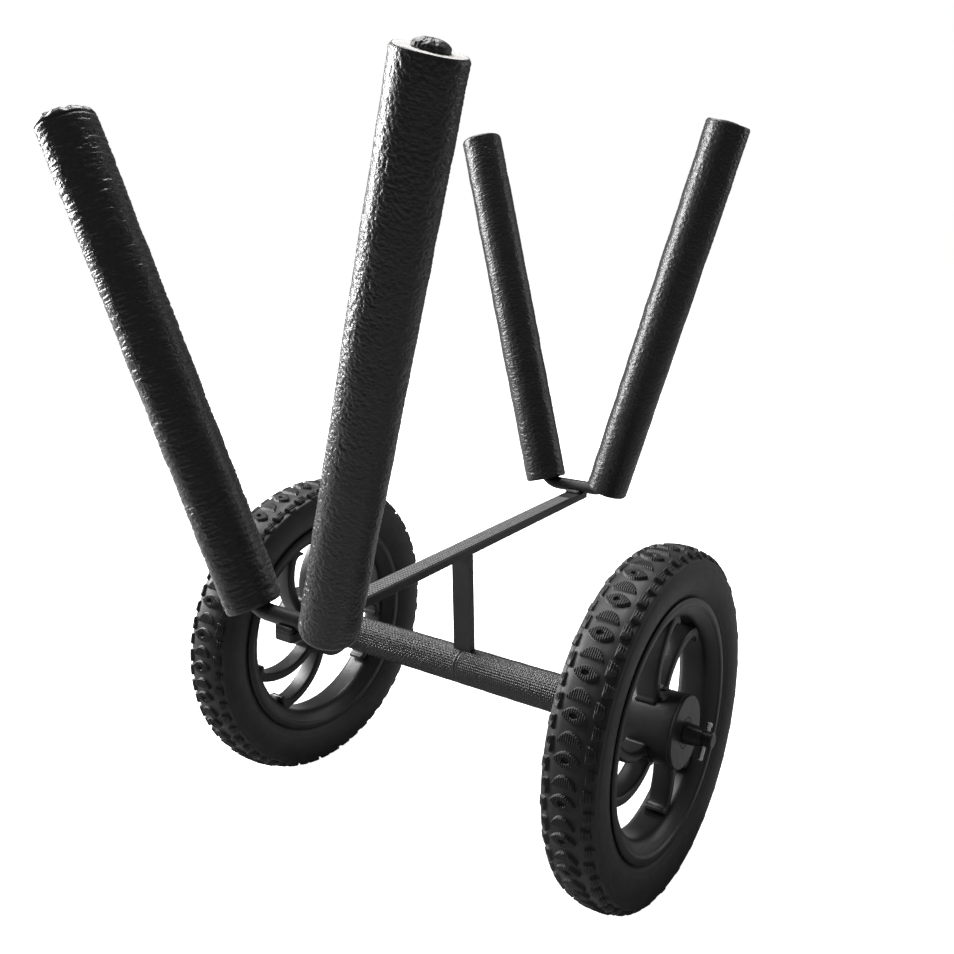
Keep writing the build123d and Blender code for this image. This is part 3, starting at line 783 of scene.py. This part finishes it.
# ---------------------------------------------------------------- floor, light and camera
def by_camera_ray(tree, seen, lit, output):
    """The camera sees one shader, and the light that bounces meets the other."""
    path = tree.nodes.new("ShaderNodeLightPath")
    mix = tree.nodes.new("ShaderNodeMixShader")
    tree.links.new(path.outputs["Is Camera Ray"], mix.inputs["Fac"])
    tree.links.new(lit, mix.inputs[1])
    tree.links.new(seen, mix.inputs[2])
    tree.links.new(mix.outputs["Shader"], tree.nodes[output].inputs["Surface"])


floor_mat = bpy.data.materials.new("floor")
floor_mat.use_nodes = True
floor_tree = floor_mat.node_tree
floor_pale = floor_tree.nodes["Principled BSDF"]
floor_pale.inputs["Base Color"].default_value = (0.8, 0.8, 0.8, 1)
floor_pale.inputs["Roughness"].default_value = 0.95
floor_pale.inputs["Specular IOR Level"].default_value = 0.1
floor_pale.inputs["Emission Color"].default_value = (1, 1, 1, 1)
floor_pale.inputs["Emission Strength"].default_value = 0.96
floor_dim = floor_tree.nodes.new("ShaderNodeBsdfDiffuse")
floor_dim.inputs["Color"].default_value = (0.3, 0.3, 0.3, 1)
by_camera_ray(floor_tree, floor_pale.outputs["BSDF"], floor_dim.outputs["BSDF"], "Material Output")
floor_corners = [(-12, -12, 0), (12, -12, 0), (12, 12, 0), (-12, 12, 0)]
floor = make_object("floor", floor_corners, [[0, 1, 2, 3]], floor_mat, smooth=False)

world = bpy.data.worlds.new("studio")
bpy.context.scene.world = world
world.use_nodes = True
dim_sky = world.node_tree.nodes["Background"]
dim_sky.inputs["Color"].default_value = (1, 1, 1, 1)
dim_sky.inputs["Strength"].default_value = 0.2
pale_sky = world.node_tree.nodes.new("ShaderNodeBackground")
pale_sky.inputs["Color"].default_value = (1, 1, 1, 1)
pale_sky.inputs["Strength"].default_value = 1.0
by_camera_ray(world.node_tree, pale_sky.outputs["Background"], dim_sky.outputs["Background"],
              "World Output")


def area_light(name, place, target, size, power):
    data = bpy.data.lights.new(name, "AREA")
    data.shape = "RECTANGLE"
    data.size, data.size_y = size
    data.energy = power
    obj = bpy.data.objects.new(name, data)
    bpy.context.scene.collection.objects.link(obj)
    obj.location = place
    obj.rotation_euler = (Vector(target) - Vector(place)).to_track_quat("-Z", "Y").to_euler()


middle = (0, 0, 0.33)
area_light("key", (-2.1, -0.55, 1.2), middle, (0.6, 1.8), 150)
area_light("side", (1.5, 2.0, 1.0), middle, (0.8, 1.6), 9)
area_light("top", (-0.6, 0.4, 2.4), middle, (1.2, 1.2), 70)

azimuth, elevation, roll = math.radians(33.6031), math.radians(12.5504), math.radians(-0.4858)
back = Vector((math.sin(azimuth) * math.cos(elevation),
               -math.cos(azimuth) * math.cos(elevation), math.sin(elevation)))
right = Vector((math.cos(azimuth), math.sin(azimuth), 0))
up = back.cross(right)
cam_right = right * math.cos(roll) + up * math.sin(roll)
cam_up = up * math.cos(roll) - right * math.sin(roll)
camera_data = bpy.data.cameras.new("camera")
camera_data.sensor_width = 36
camera_data.lens = 35.6633
camera_data.shift_x = -0.03409
camera_data.shift_y = -0.04768
camera_data.clip_end = 60
camera = bpy.data.objects.new("camera", camera_data)
bpy.context.scene.collection.objects.link(camera)
camera_place = Vector((0.52011, -0.69834, 0.59077))
camera.matrix_world = Matrix((
    (cam_right.x, cam_up.x, back.x, camera_place.x),
    (cam_right.y, cam_up.y, back.y, camera_place.y),
    (cam_right.z, cam_up.z, back.z, camera_place.z),
    (0, 0, 0, 1)))
bpy.context.scene.camera = camera
bpy.context.scene.view_settings.view_transform = "Standard"

bpy.context.view_layer.update()
